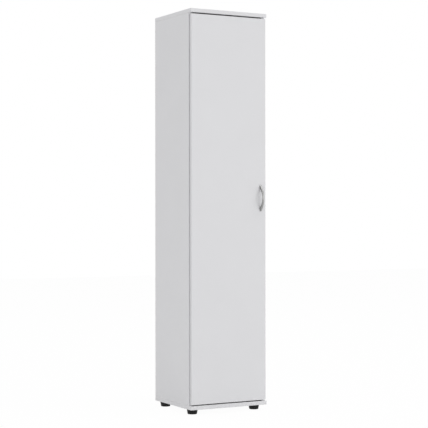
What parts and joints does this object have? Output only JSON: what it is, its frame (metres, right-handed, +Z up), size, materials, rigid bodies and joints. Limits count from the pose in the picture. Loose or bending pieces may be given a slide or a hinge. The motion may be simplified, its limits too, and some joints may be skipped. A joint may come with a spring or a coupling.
{
  "type": "broom cupboard",
  "caption": "Tall narrow broom cupboard with a full-height hinged door, bow handle, fixed hat shelf and tapered round feet.",
  "frame": {"origin": "on the floor, below the middle of the box that holds the whole cupboard with its handle", "axes": "+X to the right, +Y to the back, +Z up; the door faces -Y and its hinges are on the left, at -X"},
  "size_m": [0.4, 0.4004, 1.855],
  "materials": {
    "white_melamine": "fine-textured white melamine on chipboard",
    "white_edge_band": "satin white edge band",
    "white_hardboard": "white-painted hardboard",
    "black_plastic": "moulded black plastic",
    "brushed_nickel": "satin nickel",
    "nickel_plated_steel": "bright nickel plate",
    "zinc_plated_steel": "zinc plate",
    "zinc_alloy": "raw zinc casting",
    "beech": "raw beech",
    "white_plastic": "moulded white plastic",
    "clear_rubber": "clear soft rubber"
  },
  "bodies": {
    "carcass": {"back_panel": "white_hardboard", "back_panel_nails": "zinc_plated_steel", "bottom_board": "white_melamine", "bottom_edge_bands": "white_edge_band", "cam_caps": "white_plastic", "corner_cam_bolts": "zinc_plated_steel", "corner_cams": "zinc_alloy", "corner_dowels": "beech", "door_bumpers": "clear_rubber", "fixed_shelf": "white_melamine", "foot_back_left": "black_plastic", "foot_back_right": "black_plastic", "foot_front_left": "black_plastic", "foot_front_right": "black_plastic", "foot_screws": "zinc_plated_steel", "hinge_arm_bottom": "nickel_plated_steel", "hinge_arm_middle": "nickel_plated_steel", "hinge_arm_top": "nickel_plated_steel", "hinge_clamp_screws": "zinc_plated_steel", "hinge_plate_bottom": "nickel_plated_steel", "hinge_plate_middle": "nickel_plated_steel", "hinge_plate_screws": "zinc_plated_steel", "hinge_plate_top": "nickel_plated_steel", "left_side_edge_band": "white_edge_band", "left_side_panel": "white_melamine", "right_side_edge_band": "white_edge_band", "right_side_panel": "white_melamine", "shelf_cam_bolts": "zinc_plated_steel", "shelf_cams": "zinc_alloy", "shelf_dowels": "beech", "shelf_edge_band": "white_edge_band", "top_board": "white_melamine", "top_edge_bands": "white_edge_band", "wall_bracket": "zinc_plated_steel", "wall_bracket_screws": "zinc_plated_steel"},
    "door": {"door_panel": "white_melamine", "door_edge_bands": "white_edge_band", "handle": "brushed_nickel", "handle_screws": "zinc_plated_steel", "hinge_cup_screws": "zinc_plated_steel", "hinge_cup_bottom": "nickel_plated_steel", "hinge_cup_middle": "nickel_plated_steel", "hinge_cup_top": "nickel_plated_steel", "hinge_pin_bottom": "zinc_plated_steel", "hinge_pin_middle": "zinc_plated_steel", "hinge_pin_top": "zinc_plated_steel"}
  },
  "joints": [
    {"name": "door_hinge", "type": "hinge", "parent": "carcass", "child": "door", "pos_m": [-0.18804, -0.16275, 0.94], "axis": [0, 0, -1], "range_deg": [0, 95]}
  ]
}
